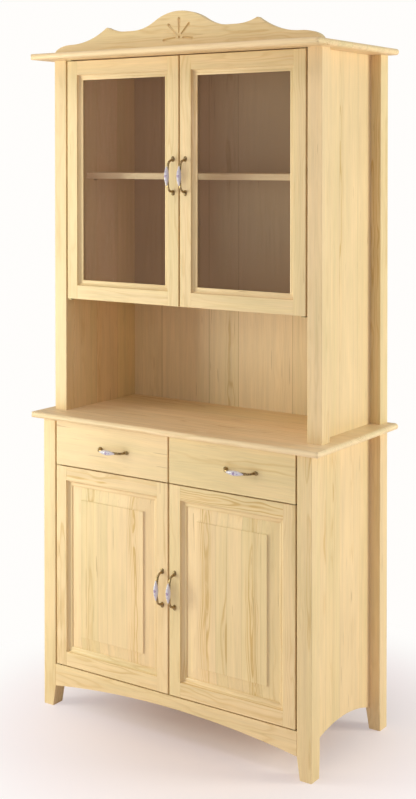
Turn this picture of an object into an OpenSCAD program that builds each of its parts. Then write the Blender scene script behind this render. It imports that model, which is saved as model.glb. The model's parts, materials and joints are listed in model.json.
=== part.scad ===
// Two-part pine dresser: a glazed display cabinet standing on a cupboard with drawers.
// Millimetres. X runs along the width, +Y goes into the cabinet from its front, Z is up.
// The origin is on the floor, under the middle of the whole cabinet.

/* [Carcass] */
// Width across the outer faces of the posts
body_w = 930; // [800:5:1100]
// Depth from the front of the lower posts to the rear posts' back faces
body_d = 432; // [380:2:520]
// Height of the counter's top above the floor
counter_h = 882; // [860:2:930]
// Height of the cornice board's underside above the floor
cornice_h = 1936; // [1860:2:2040]
// How far the upper cabinet's front stands back from the lower one
setback = 52; // [40:1:80]
// Thickness of the floors, shelves, countertop and cornice board
board_t = 18; // [16:1:22]
// Width and depth of each square corner post
post_w = 45; // [40:1:50]
// How far the side panels lie back from the posts' outer faces
side_recess = 32; // [26:1:34]
// Width of the tongue that houses a side panel in its posts
side_tongue = 8; // [5:1:12]
// Thickness of the back panels
back_t = 10; // [6:1:14]

/* [Feet and arches] */
// Width of each foot at the floor, seen from the front
foot_w = 36; // [28:1:41]
// Width of each foot at the floor, seen from the side
foot_d = 42; // [28:1:43]
// Height at which the posts start to taper towards their feet
foot_h = 60; // [44:1:61]
// Height of the arched bottoms where they meet the posts
arch_end = 62; // [61:1:68]
// Height of the arched bottoms in their middle
arch_mid = 94; // [84:1:102]
// Height of the front apron's top edge
apron_top = 128; // [120:1:136]
// Thickness of the front apron
apron_t = 20; // [16:1:24]

/* [Counter and cornice boards] */
// How far both boards stand out past the posts at each side
top_side = 34; // [24:1:44]
// How far both boards stand out past the lower posts at the front
top_front = 26; // [18:1:36]
// Radius of both boards' front corners, seen from above
top_corner = 16; // [12:1:24]

/* [Crest] */
// Thickness of the carved crest board
crest_t = 20; // [16:1:24]
// Height of the crest's dome above the cornice board
crest_peak = 105; // [98:1:115]
// Height of the hollows beside the dome
crest_valley = 57; // [50:1:62]
// Height of the two pointed horns
crest_horn = 72; // [68:1:80]
// Height of the crest where its ends start to round over
crest_shoulder = 28; // [24:1:34]
// Radius of the dome
crest_dome_r = 165; // [150:1:180]
// Radius of the hollows beside the dome
crest_hollow_r = 147; // [130:1:155]
// Distance from the middle to where each hollow starts to rise to its horn
crest_rise_x = 195; // [185:1:205]
// Distance from the middle to each horn's tip
crest_horn_x = 262; // [250:1:275]
// Length of the rounded stretch at each end
crest_end = 65; // [50:1:80]

/* [Doors] */
// Thickness of all four doors
door_t = 22; // [20:1:26]
// Gap beside and between doors and drawer fronts
side_gap = 5; // [3:0.5:6]
// Gap above and below the doors
level_gap = 3.5; // [3:0.5:7]
// Face width of the doors' upright stiles
stile_w = 38; // [36:1:48]
// Face width of the doors' rails
rail_w = 41; // [36:1:52]
// Length of the rails' tenons
tenon_l = 16; // [12:1:20]
// Thickness of the rails' tenons
tenon_t = 8; // [6:1:9]
// Width of the mitred bead round each pane and panel
bead_w = 16; // [12:1:18]
// Depth from a door's face to its pane or panel
bead_d = 12; // [11:1:13]
// Thickness of the panes
glass_t = 4; // [3:0.5:5]
// Width of the lip behind the panes and panels
lip_w = 10; // [8:1:12]
// Width of the raised panels' bevels
bevel_w = 36; // [28:1:42]
// Rise of the raised panels' bevels
bevel_rise = 4; // [3:0.5:5]
// Height of the small step between bevel and raised field
field_step = 4; // [2:0.5:5]
// Play round a pane or panel in its frame
pane_play = 1; // [0.5:0.5:2]

/* [Pivot hinges] */
// Distance from a door's hinge edge to its pivot
pivot_in = 8; // [7.5:0.5:10]
// Distance from a door's face to its pivot
pivot_back = 7; // [6:0.5:7.5]
// Radius of the pivot pins
pin_r = 3; // [2.5:0.1:3.5]
// Radial clearance of the pins in their bores
pin_fit = 0.05; // [0.03:0.01:0.08]
// Length of each pin past its plate
pin_l = 12; // [10:1:16]
// Thickness of the hinge plates
plate_t = 1.5; // [1:0.5:2]
// Width of the hinge plates
plate_w = 15; // [12:1:15]
// Length of the hinge plates from front to back
plate_l = 50; // [42:1:60]

/* [Drawers] */
// Height of the drawer fronts
drawer_h = 130; // [110:2:140]
// Thickness of the drawer fronts
drawer_front_t = 20; // [18:1:22]
// Gap between the doors' tops and the drawer fronts
drawer_gap = 3.5; // [3:0.5:7]
// Gap above the drawer fronts
drawer_top_gap = 4; // [2:0.5:6]
// Thickness of the drawer sides and backs
drawer_side_t = 12; // [10:1:15]
// Thickness of the drawer bottoms
drawer_bottom_t = 5; // [4:0.5:8]
// Room behind the closed drawers
drawer_rear = 22; // [10:2:80]
// Room above the drawer sides
drawer_head = 4; // [2:1:12]
// Play beside each drawer
drawer_play = 2; // [1:0.5:3]

/* [Shelves and floors] */
// Height from counter to the underside of the display floor
niche_h = 337; // [300:1:360]
// Height from display floor to the underside of its shelf
display_shelf_up = 343; // [250:5:420]
// How far the display shelf stands back from the upper front
display_shelf_back = 98; // [60:2:140]
// Height from cupboard floor to the underside of its shelf
cupboard_shelf_up = 290; // [200:5:380]
// Play beside and behind each loose shelf
shelf_play = 1; // [0.5:0.5:2]
// Radius of the shelf pins
shelf_pin_r = 2.5; // [2:0.5:3]
// Distance from a shelf's edge to its pins
shelf_pin_in = 35; // [25:5:50]

/* [Handles] */
// Distance between the two screws of a handle
handle_span = 96; // [90:2:110]
// Distance from the door to the middle of the bow's grip
handle_out = 24; // [22:1:28]
// Thickness of the bow
bow_t = 4; // [3:0.5:5]
// Width of the bow
bow_w = 7; // [6:0.5:9]
// Radius of the bow's two bends, in the middle of its thickness
bow_bend = 14; // [8:1:16]
// Radius of the bow's two end plates
rosette_r = 8; // [7:0.5:10]
// Length of the porcelain grip
grip_l = 58; // [50:1:64]
// Radius of the porcelain grip in its middle
grip_r = 8; // [7:0.5:9]
// Radius of the porcelain grip at its ends
grip_end_r = 4.5; // [4.5:0.1:5]
// Radius of the handle screws
screw_r = 2; // [1.5:0.1:2.5]
// Height of the upper doors' handles above their middle
upper_handle_rise = 15; // [-60:5:60]
// Distance from the left drawer's middle to its handle, to the right
left_drawer_handle_shift = 11; // [-100:1:100]
// Distance from the right drawer's middle to its handle, to the right
right_drawer_handle_shift = 34; // [-100:1:100]

/* [Hidden] */
pine = [0.93, 0.81, 0.60];
pine_dark = [0.80, 0.66, 0.46];
bronze = [0.45, 0.36, 0.20];
steel = [0.70, 0.69, 0.66];
white = [0.95, 0.94, 0.91];
pane = [0.75, 0.85, 0.85, 0.4];

// Play that keeps neighbouring faces of moving pieces apart
near = 0.3;
// Play of tenons and pins in their holes
hole_fit = 0.1;
// Overrun of a cutting solid past the face that it cuts
over = 1;
// Gap between a door's back and what it closes against
behind_door = 3;
// Gap between a drawer front and what it closes against
behind_drawer = 0.5;
// Front steps of the bead's moulding: quirk, hollow and torus
quirk = 1;
hollow_r = 9;
torus_rise = 0.8;
// Depth of the grooves for the drawer bottoms, and their height above the sides' lower edges
groove = 5;
groove_up = 8;
// Wall left behind the shelf pins' holes, and the pins' length inside the cabinet
pin_wall = 4;
pin_out = 10;
// Distance of the hinge plates' front ends behind the door faces
plate_in = 1;
// Radius of the collars under the doors, and depth of the bores past the pins' ends
collar_r = 5;
bore_spare = 2;
// Height of a handle's domed end plates, thickness and radius of its screw heads
rosette_h = 6;
screw_head_t = 2.5;
screw_head_r = 4;
// Depth of the screws in the bow's ends, and room past their tips
screw_in = 4;
screw_spare = 1;
// Distance of the bow's arms inside the rims of its end plates
arm_in = 1;
// Distance from the bow's front to the grip's axis
grip_seat = 4;
// Width of the small step between a panel's bevel and its field
step_run = 1;
// Wood left behind the doors' tenons
tenon_back = 1;
// Hairline between each bead's end and the mitre line
mitre_gap = 0.05;
// Steps along each drawn curve
curve_steps = 14;

half_w = body_w / 2;
bay = half_w - post_w;
side_t = post_w - side_recess;
pin_in = side_t - pin_wall;
grip_y = handle_out + bow_t / 2;
handle_reach = grip_y + grip_seat + grip_r;
front_y = (max(handle_reach, top_front) - body_d) / 2;
counter_z = counter_h - board_t;
crest_z = cornice_h + board_t;
back_y = body_d - post_w;

door_w = bay - 1.5 * side_gap;
door_x = bay - side_gap;
pane_w = door_w - 2 * stile_w;
infill_back = bead_d + glass_t;
tenon_y = infill_back - tenon_back;
bore_r = pin_r + pin_fit;

drawer_z = counter_z - drawer_top_gap - drawer_h;
plate_gap = (drawer_gap - plate_t) / 2;
rest_z = drawer_z - plate_gap;
box_z = rest_z + board_t + near;
drawer_side_h = counter_z - drawer_head - box_z;
drawer_l = back_y - drawer_rear - drawer_front_t;

lower_door_z = apron_top + level_gap;
lower_door_h = drawer_z - drawer_gap - lower_door_z;
display_z = counter_h + niche_h;
upper_door_z = display_z + level_gap / 2;
upper_door_h = cornice_h - level_gap - upper_door_z;
upper_shelf_z = display_z + board_t + display_shelf_up;
lower_shelf_z = apron_top + cupboard_shelf_up;
lower_handle_z = lower_door_z + lower_door_h / 2;
upper_handle_z = upper_door_z + upper_door_h / 2 + upper_handle_rise;
handle_x = door_x - door_w + stile_w / 2;
drawer_x = door_x - door_w / 2;

// Placing helpers

// Pieces are drawn for the right side, and the left ones are their mirror image
module on_side(side) {
    if (side < 0)
        mirror([1, 0, 0]) children();
    else
        children();
}

// Moves to a depth that is measured from the lower posts' front faces
module from_front(depth) {
    translate([0, front_y + depth, 0]) children();
}

// A block between two opposite corners
module block(low, high) {
    translate(low) cube(high - low);
}

// An outline drawn in X and Z, extruded along +Y
module slab_y(thick) {
    translate([0, thick, 0]) rotate([90, 0, 0]) linear_extrude(thick) children();
}

// An outline drawn in Y and Z, extruded along +X
module slab_x(thick) {
    rotate([90, 0, 90]) linear_extrude(thick) children();
}

// Points of an arc about a centre
function arc(x, y, r, from, to) =
    [for (i = [0 : curve_steps]) let (a = from + (to - from) * i / curve_steps)
        [x + r * cos(a), y + r * sin(a)]];

// Joins arcs that meet end to end, with each shared point once
function chain(arcs) = concat([arcs[0][0]], [for (a = arcs, i = [1 : len(a) - 1]) a[i]]);

// Radius of a circular arch with a given half width and rise
function arch_r(half, rise) = (half * half + rise * rise) / (2 * rise);

// Corner posts

// Outline of a post that tapers on one inner face down to a foot of the given width
module foot_outline(foot, height) {
    polygon([[0, 0], [foot, 0], [post_w, foot_h], [post_w, height], [0, height]]);
}

// A post with its outer corner at the origin and its inner faces towards +X and +Y
module lower_post() {
    difference() {
        intersection() {
            slab_y(post_w) foot_outline(foot_w, counter_z);
            slab_x(post_w) foot_outline(foot_d, counter_z);
        }
        side_rebate(arch_end, counter_z);
    }
}

module upper_post() {
    difference() {
        cube([post_w, post_w, cornice_h - counter_h]);
        side_rebate(-over, cornice_h - counter_h);
    }
}

// The rebate that houses a side panel's tongue
module side_rebate(low, high) {
    block([side_recess, post_w - side_tongue, low], [post_w + over, post_w + over, high + over]);
}

// Turns a post so that its outer corner points to one corner of the cabinet
module at_corner(side, rear, height) {
    on_side(side)
        translate([half_w, front_y + (rear ? body_d : height > 0 ? setback : 0), height])
            mirror([1, 0, 0]) mirror([0, rear ? 1 : 0, 0])
                children();
}

module lower_corner_post(side, rear) {
    color(pine) at_corner(side, rear, 0) lower_post();
}

module upper_corner_post(side, rear) {
    color(pine) at_corner(side, rear, counter_h) upper_post();
}

// Side panels, apron and backs

// Holes for the two pins that carry one end of a shelf
module shelf_pin_holes(shelf_z, shelf_front) {
    for (depth = [shelf_front + shelf_pin_in, back_y - shelf_pin_in])
        translate([0, front_y + depth, shelf_z - shelf_pin_r - near])
            rotate([0, 90, 0])
                cylinder(h = pin_in + hole_fit, r = shelf_pin_r + hole_fit, $fn = 32);
}

module lower_side(side) {
    chord = back_y - post_w;
    rise = arch_mid - arch_end;
    r = arch_r(chord / 2, rise);
    color(pine) on_side(side) difference() {
        translate([bay, front_y, 0]) slab_x(side_t) difference() {
            translate([post_w - side_tongue, arch_end])
                square([chord + 2 * side_tongue, counter_z - arch_end]);
            translate([post_w + chord / 2, arch_mid - r]) circle(r, $fn = 180);
        }
        translate([bay, 0, 0]) shelf_pin_holes(lower_shelf_z, door_t + behind_door);
    }
}

module upper_side(side) {
    color(pine) on_side(side) difference() {
        from_front(0) block([bay, setback + post_w - side_tongue, counter_h],
                            [bay + side_t, back_y + side_tongue, cornice_h]);
        translate([bay, 0, 0]) shelf_pin_holes(upper_shelf_z, setback + display_shelf_back);
    }
}

module front_apron() {
    r = arch_r(bay, arch_mid - arch_end);
    color(pine) from_front(0) slab_y(apron_t) difference() {
        translate([-bay, arch_end]) square([2 * bay, apron_top - arch_end]);
        translate([0, arch_mid - r]) circle(r, $fn = 720);
    }
}

module lower_back() {
    color(pine_dark) from_front(back_y)
        block([-bay, 0, apron_top - board_t], [bay, back_t, counter_z]);
}

module upper_back() {
    color(pine_dark) from_front(back_y) block([-bay, 0, counter_h], [bay, back_t, cornice_h]);
}

// Floors, shelves and the boards round the drawers

// A board that runs to the back panel from a given depth
module board(half, depth, low, thick, rear) {
    from_front(0) block([-half, depth, low], [half, rear, low + thick]);
}

module cupboard_floor() {
    color(pine) board(bay, apron_t, apron_top - board_t, board_t, back_y);
}

module cupboard_shelf() {
    color(pine)
        board(bay - shelf_play, door_t + behind_door, lower_shelf_z, board_t, back_y - shelf_play);
}

module drawer_rest_board() {
    color(pine) board(bay, drawer_front_t + behind_drawer, rest_z, board_t, back_y);
}

module drawer_divider() {
    color(pine) board(board_t / 2, drawer_front_t + behind_drawer, rest_z + board_t,
                      counter_z - rest_z - board_t, back_y);
}

module display_floor() {
    color(pine) board(bay, setback + door_t + behind_door, display_z, board_t, back_y);
}

module display_shelf() {
    color(pine)
        board(bay - shelf_play, setback + display_shelf_back, upper_shelf_z, board_t,
              back_y - shelf_play);
}

// Countertop and cornice

// A board with a half-round nose along its front and both sides, its rear edge square
module nosed_board() {
    w = half_w + top_side;
    d = body_d + top_front;
    nose = board_t / 2;
    c = top_corner;
    intersection() {
        slab_x(2 * w) union() {
            translate([nose, 0]) square([d - nose, board_t]);
            translate([nose, nose]) circle(nose, $fn = 48);
        }
        translate([w, 0, 0]) slab_y(d) union() {
            translate([nose - w, 0]) square([2 * (w - nose), board_t]);
            for (s = [-1, 1])
                translate([s * (w - nose), nose]) circle(nose, $fn = 48);
        }
        linear_extrude(board_t) union() {
            translate([0, c]) square([2 * w, d - c]);
            translate([c, 0]) square([2 * (w - c), c]);
            for (x = [c, 2 * w - c])
                translate([x, c]) circle(c, $fn = 48);
        }
    }
}

module countertop() {
    color(pine) translate([-half_w - top_side, front_y - top_front, counter_z]) nosed_board();
}

module cornice_board() {
    color(pine) translate([-half_w - top_side, front_y - top_front, cornice_h]) nosed_board();
}

// Crest

// Right half of the crest's upper outline, from the middle to the end
function crest_half() =
    let (
        dome_z = crest_peak - crest_dome_r,
        hollow_z = crest_valley + crest_hollow_r,
        reach = crest_dome_r + crest_hollow_r,
        hollow_x = sqrt(reach * reach - (hollow_z - dome_z) * (hollow_z - dome_z)),
        tilt = atan2(hollow_z - dome_z, hollow_x),
        rise_r = arch_r(crest_horn_x - crest_rise_x, crest_horn - crest_valley),
        rise_a = asin((crest_horn_x - crest_rise_x) / rise_r),
        end_x = half_w - crest_end,
        sweep_r = arch_r(end_x - crest_horn_x, crest_horn - crest_shoulder),
        sweep_a = asin((end_x - crest_horn_x) / sweep_r)
    )
    concat(
        chain([
            arc(0, dome_z, crest_dome_r, 90, tilt),
            arc(hollow_x, hollow_z, crest_hollow_r, 180 + tilt, 270)
        ]),
        chain([
            arc(crest_rise_x, crest_valley + rise_r, rise_r, 270, 270 + rise_a),
            arc(end_x, crest_shoulder + sweep_r, sweep_r, 270 - sweep_a, 270)
        ]),
        [for (i = [1 : curve_steps]) let (a = 90 - 90 * i / curve_steps)
            [end_x + crest_end * cos(a), crest_shoulder * sin(a)]]
    );

module crest_board() {
    half = crest_half();
    last = len(half) - 1;
    left = [for (i = [last : -1 : 1]) [-half[i][0], half[i][1]]];
    color(pine) from_front(setback) translate([0, 0, crest_z]) slab_y(crest_t)
        polygon(concat(left, half));
}

// Shelf pins and pivot hinges

module shelf_pin_set(shelf_z, shelf_front) {
    for (side = [-1, 1], depth = [shelf_front + shelf_pin_in, back_y - shelf_pin_in])
        on_side(side)
            translate([bay - pin_out, front_y + depth, shelf_z - shelf_pin_r - near])
                rotate([0, 90, 0])
                    cylinder(h = pin_out + pin_in, r = shelf_pin_r, $fn = 32);
}

module shelf_pins() {
    color(steel) {
        shelf_pin_set(lower_shelf_z, door_t + behind_door);
        shelf_pin_set(upper_shelf_z, setback + display_shelf_back);
    }
}

// A plate whose pin points up out of its top face, with a collar that carries the door
module pivot_plate(collar) {
    block([-plate_w / 2, plate_in - pivot_back, -plate_t], [plate_w / 2, plate_l - pivot_back, 0]);
    cylinder(h = pin_l, r = pin_r, $fn = 48);
    if (collar > 0)
        cylinder(h = collar, r = collar_r, $fn = 48);
}

// The plates above and below one door
module pivot_pair(side, depth, low, collar, high) {
    on_side(side) translate([door_x - pivot_in, front_y + depth + pivot_back, 0]) {
        translate([0, 0, low]) pivot_plate(collar);
        translate([0, 0, high]) mirror([0, 0, 1]) pivot_plate(0);
    }
}

module pivot_hinges() {
    color(steel)
        for (side = [-1, 1]) {
            pivot_pair(side, 0, apron_top + plate_t, level_gap - plate_t - near,
                       rest_z - plate_t);
            pivot_pair(side, setback, display_z, level_gap / 2 - near, cornice_h - plate_t);
        }
}

// Doors, drawn with the hinge edge at X = door_x and the face towards the front

// Moves to a door's lower meeting corner, with X growing towards its hinge
module at_door(side, depth, low) {
    on_side(side) translate([door_x - door_w, front_y + depth, low]) children();
}

module tenon_slots(h) {
    for (z = [0, h - rail_w])
        block([-tenon_l - hole_fit, tenon_y - tenon_t - hole_fit, z + tenon_t - hole_fit],
              [over, tenon_y + hole_fit, z + rail_w - tenon_t + hole_fit]);
}

module stile(h) {
    cube([stile_w, door_t, h]);
    block([stile_w, infill_back, rail_w + lip_w], [stile_w + lip_w, door_t, h - rail_w - lip_w]);
}

module door_stiles(side, depth, low, h, handle_up) {
    color(pine) at_door(side, depth, low) {
        difference() {
            stile(h);
            translate([stile_w, 0, 0]) tenon_slots(h);
            translate([stile_w / 2, 0, handle_up]) handle_holes(door_t);
        }
        difference() {
            translate([door_w, 0, 0]) mirror([1, 0, 0]) stile(h);
            translate([door_w - stile_w, 0, 0]) mirror([1, 0, 0]) tenon_slots(h);
            translate([door_w - pivot_in, pivot_back, -over])
                cylinder(h = pin_l + bore_spare + over, r = bore_r, $fn = 48);
            translate([door_w - pivot_in, pivot_back, h - pin_l - bore_spare])
                cylinder(h = pin_l + bore_spare + over, r = bore_r, $fn = 48);
        }
    }
}

module door_rail() {
    block([stile_w, 0, 0], [door_w - stile_w, door_t, rail_w]);
    block([stile_w, infill_back, rail_w], [door_w - stile_w, door_t, rail_w + lip_w]);
}

module door_rails(side, depth, low, h) {
    color(pine) at_door(side, depth, low) {
        for (z = [0, 1])
            translate([0, 0, z * h]) mirror([0, 0, z]) {
                door_rail();
                for (end = [0, 1])
                    translate([end * door_w, 0, 0]) mirror([end, 0, 0])
                        block([stile_w - tenon_l, tenon_y - tenon_t, tenon_t],
                              [stile_w, tenon_y, rail_w - tenon_t]);
            }
    }
}

// Section of the bead: width from the frame against depth from the face
function bead_section() =
    let (
        low = quirk + hollow_r,
        half = (bead_w - hollow_r) / 2,
        r = arch_r(half, torus_rise),
        a = asin(half / r)
    )
    concat(
        [[0, bead_d]],
        chain([
            arc(hollow_r, quirk, hollow_r, 180, 90),
            arc(hollow_r + half, low + r - torus_rise, r, 270 - a, 270 + a)
        ]),
        [[bead_w, bead_d]]
    );

// One mitred length of bead along +X, on the lower side of the opening
module bead_length(l) {
    intersection() {
        slab_x(l) polygon([for (p = bead_section()) [p[1], p[0]]]);
        slab_y(bead_d)
            polygon([[mitre_gap, 0], [l - mitre_gap, 0], [l - bead_w - mitre_gap, bead_w],
                     [bead_w + mitre_gap, bead_w]]);
    }
}

module door_bead(side, depth, low, h) {
    open_h = h - 2 * rail_w;
    color(pine) at_door(side, depth, low) translate([stile_w, 0, rail_w]) {
        bead_length(pane_w);
        translate([0, 0, open_h]) mirror([0, 0, 1]) bead_length(pane_w);
        for (end = [0, 1])
            translate([end * pane_w, 0, 0]) mirror([end, 0, 0])
                translate([0, 0, open_h]) rotate([0, 90, 0]) bead_length(open_h);
    }
}

module door_glass(side, depth, low, h) {
    color(pane) at_door(side, depth, low)
        block([stile_w + pane_play, bead_d, rail_w + pane_play],
              [door_w - stile_w - pane_play, infill_back, h - rail_w - pane_play]);
}

// Section across a raised panel of a given width, from its back to its field
function panel_section(w) =
    let (
        edge = bead_w - pane_play,
        field = edge + bevel_w,
        slope = bead_d - bevel_rise,
        top = slope - field_step
    )
    [[0, infill_back], [0, bead_d], [edge, bead_d], [field, slope], [field + step_run, top],
     [w - field - step_run, top], [w - field, slope], [w - edge, bead_d], [w, bead_d],
     [w, infill_back]];

module door_panel(side, depth, low, h) {
    w = pane_w - 2 * pane_play;
    tall = h - 2 * rail_w - 2 * pane_play;
    color(pine) at_door(side, depth, low)
        translate([stile_w + pane_play, 0, rail_w + pane_play])
            intersection() {
                linear_extrude(tall) polygon(panel_section(w));
                slab_x(w) polygon([for (p = panel_section(tall)) [p[1], p[0]]]);
            }
}

// Handles, drawn upright on the plane Y = 0 with their middle at the origin

module handle_holes(depth) {
    for (s = [-1, 1])
        translate([0, depth + over, s * handle_span / 2]) rotate([90, 0, 0])
            cylinder(h = depth + 2 * over, r = screw_r + hole_fit, $fn = 32);
}

// Half of the bow's side outline, from the grip's middle to the end plate
module bow_half() {
    arm = handle_span / 2 - rosette_r + arm_in + bow_t / 2;
    bend_y = bow_bend - handle_out;
    polygon(concat(
        [[-grip_y, 0]],
        arc(bend_y, arm - bow_bend, bow_bend + bow_t / 2, 180, 90),
        [[0, arm + bow_t / 2], [0, arm - bow_t / 2]],
        arc(bend_y, arm - bow_bend, bow_bend - bow_t / 2, 90, 180),
        [[bow_t - grip_y, 0]]
    ));
}

module handle_bow(thick) {
    difference() {
        union() {
            for (s = [0, 1])
                mirror([0, 0, s]) translate([-bow_w / 2, 0, 0]) slab_x(bow_w) bow_half();
            for (s = [-1, 1])
                translate([0, 0, s * handle_span / 2]) rotate([90, 0, 0])
                    cylinder(h = rosette_h, r1 = rosette_r, r2 = rosette_r / 2, $fn = 48);
        }
        for (s = [-1, 1])
            translate([0, over, s * handle_span / 2]) rotate([90, 0, 0])
                cylinder(h = screw_in + screw_spare + over, r = screw_r + hole_fit, $fn = 32);
    }
    for (s = [-1, 1])
        translate([0, thick, s * handle_span / 2]) rotate([90, 0, 0]) {
            cylinder(h = thick + screw_in, r = screw_r, $fn = 32);
            translate([0, 0, -screw_head_t]) cylinder(h = screw_head_t, r = screw_head_r, $fn = 32);
        }
}

// The porcelain grip: an olive shape, flat behind where it sits on the bow
module handle_grip() {
    half = grip_l / 2;
    r = arch_r(half, grip_r - grip_end_r);
    a = asin(half / r);
    intersection() {
        translate([0, -grip_y - grip_seat, 0])
            rotate_extrude($fn = 64)
                polygon(concat([[0, -half]], arc(grip_r - r, 0, r, -a, a), [[0, half]]));
        block([-2 * grip_r, -handle_reach - over, -grip_l], [2 * grip_r, -grip_y, grip_l]);
    }
}

module at_door_handle(side, depth, height) {
    translate([side * handle_x, front_y + depth, height]) children();
}

// Distance from the cabinet's middle to a drawer's handle
function drawer_handle_x(side) =
    drawer_x + (side > 0 ? right_drawer_handle_shift : -left_drawer_handle_shift);

module at_drawer_handle(side) {
    translate([side * drawer_handle_x(side), front_y, drawer_z + drawer_h / 2])
        rotate([0, 90, 0]) children();
}

module door_bow(side, depth, height) {
    color(bronze) at_door_handle(side, depth, height) handle_bow(door_t);
}

module door_grip(side, depth, height) {
    color(white) at_door_handle(side, depth, height) handle_grip();
}

module drawer_bow(side) {
    color(bronze) at_drawer_handle(side) handle_bow(drawer_front_t);
}

module drawer_grip(side) {
    color(white) at_drawer_handle(side) handle_grip();
}

// Drawers

drawer_in = board_t / 2 + drawer_play;
drawer_out = bay - drawer_play;
bottom_z = box_z + groove_up;

module drawer_front(side) {
    color(pine) on_side(side) from_front(0) difference() {
        block([door_x - door_w, 0, drawer_z], [door_x, drawer_front_t, drawer_z + drawer_h]);
        block([drawer_in + drawer_side_t - groove, drawer_front_t - groove, bottom_z],
              [drawer_out - drawer_side_t + groove, drawer_front_t + over,
               bottom_z + drawer_bottom_t]);
        translate([drawer_handle_x(side), 0, drawer_z + drawer_h / 2]) rotate([0, 90, 0])
            handle_holes(drawer_front_t);
    }
}

// Two grooved sides, and the back that stands on the bottom between them
module drawer_box(side) {
    rear = drawer_front_t + drawer_l;
    color(pine) on_side(side) from_front(0) {
        difference() {
            block([drawer_in, drawer_front_t, box_z],
                  [drawer_in + drawer_side_t, rear, box_z + drawer_side_h]);
            block([drawer_in + drawer_side_t - groove, 0, bottom_z],
                  [drawer_out, rear + over, bottom_z + drawer_bottom_t]);
        }
        difference() {
            block([drawer_out - drawer_side_t, drawer_front_t, box_z],
                  [drawer_out, rear, box_z + drawer_side_h]);
            block([drawer_in, 0, bottom_z],
                  [drawer_out - drawer_side_t + groove, rear + over,
                   bottom_z + drawer_bottom_t]);
        }
        block([drawer_in + drawer_side_t, rear - drawer_side_t, bottom_z + drawer_bottom_t],
              [drawer_out - drawer_side_t, rear, box_z + drawer_side_h]);
    }
}

module drawer_bottom(side) {
    reach = groove - hole_fit;
    color(pine_dark) on_side(side) from_front(0)
        block([drawer_in + drawer_side_t - reach, drawer_front_t - reach, bottom_z],
              [drawer_out - drawer_side_t + reach, drawer_front_t + drawer_l,
               bottom_z + drawer_bottom_t]);
}

lower_corner_post(-1, false);  // lower_post_front_left
lower_corner_post(1, false);  // lower_post_front_right
lower_corner_post(-1, true);  // lower_post_rear_left
lower_corner_post(1, true);  // lower_post_rear_right
lower_side(-1);  // lower_side_left
lower_side(1);  // lower_side_right
front_apron();
lower_back();
cupboard_floor();
cupboard_shelf();
drawer_rest_board();
drawer_divider();
countertop();
upper_corner_post(-1, false);  // upper_post_front_left
upper_corner_post(1, false);  // upper_post_front_right
upper_corner_post(-1, true);  // upper_post_rear_left
upper_corner_post(1, true);  // upper_post_rear_right
upper_side(-1);  // upper_side_left
upper_side(1);  // upper_side_right
upper_back();
display_floor();
display_shelf();
cornice_board();
crest_board();
shelf_pins();
pivot_hinges();

door_stiles(-1, setback, upper_door_z, upper_door_h, upper_handle_z - upper_door_z);  // upper_left_door_stiles
door_rails(-1, setback, upper_door_z, upper_door_h);  // upper_left_door_rails
door_bead(-1, setback, upper_door_z, upper_door_h);  // upper_left_door_bead
door_glass(-1, setback, upper_door_z, upper_door_h);  // upper_left_door_glass
door_bow(-1, setback, upper_handle_z);  // upper_left_handle_bow
door_grip(-1, setback, upper_handle_z);  // upper_left_handle_grip

door_stiles(1, setback, upper_door_z, upper_door_h, upper_handle_z - upper_door_z);  // upper_right_door_stiles
door_rails(1, setback, upper_door_z, upper_door_h);  // upper_right_door_rails
door_bead(1, setback, upper_door_z, upper_door_h);  // upper_right_door_bead
door_glass(1, setback, upper_door_z, upper_door_h);  // upper_right_door_glass
door_bow(1, setback, upper_handle_z);  // upper_right_handle_bow
door_grip(1, setback, upper_handle_z);  // upper_right_handle_grip

door_stiles(-1, 0, lower_door_z, lower_door_h, lower_handle_z - lower_door_z);  // lower_left_door_stiles
door_rails(-1, 0, lower_door_z, lower_door_h);  // lower_left_door_rails
door_bead(-1, 0, lower_door_z, lower_door_h);  // lower_left_door_bead
door_panel(-1, 0, lower_door_z, lower_door_h);  // lower_left_door_panel
door_bow(-1, 0, lower_handle_z);  // lower_left_handle_bow
door_grip(-1, 0, lower_handle_z);  // lower_left_handle_grip

door_stiles(1, 0, lower_door_z, lower_door_h, lower_handle_z - lower_door_z);  // lower_right_door_stiles
door_rails(1, 0, lower_door_z, lower_door_h);  // lower_right_door_rails
door_bead(1, 0, lower_door_z, lower_door_h);  // lower_right_door_bead
door_panel(1, 0, lower_door_z, lower_door_h);  // lower_right_door_panel
door_bow(1, 0, lower_handle_z);  // lower_right_handle_bow
door_grip(1, 0, lower_handle_z);  // lower_right_handle_grip

drawer_front(-1);  // drawer_left_front
drawer_box(-1);  // drawer_left_box
drawer_bottom(-1);  // drawer_left_bottom
drawer_bow(-1);  // drawer_left_handle_bow
drawer_grip(-1);  // drawer_left_handle_grip
drawer_front(1);  // drawer_right_front
drawer_box(1);  // drawer_right_box
drawer_bottom(1);  // drawer_right_bottom
drawer_bow(1);  // drawer_right_handle_bow
drawer_grip(1);  // drawer_right_handle_grip
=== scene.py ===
"""A two-part pine dresser with a glazed top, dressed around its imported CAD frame.

Every size is in metres, in the frame's own axes: X to the right, Y into the cabinet, Z up.
"""

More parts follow.
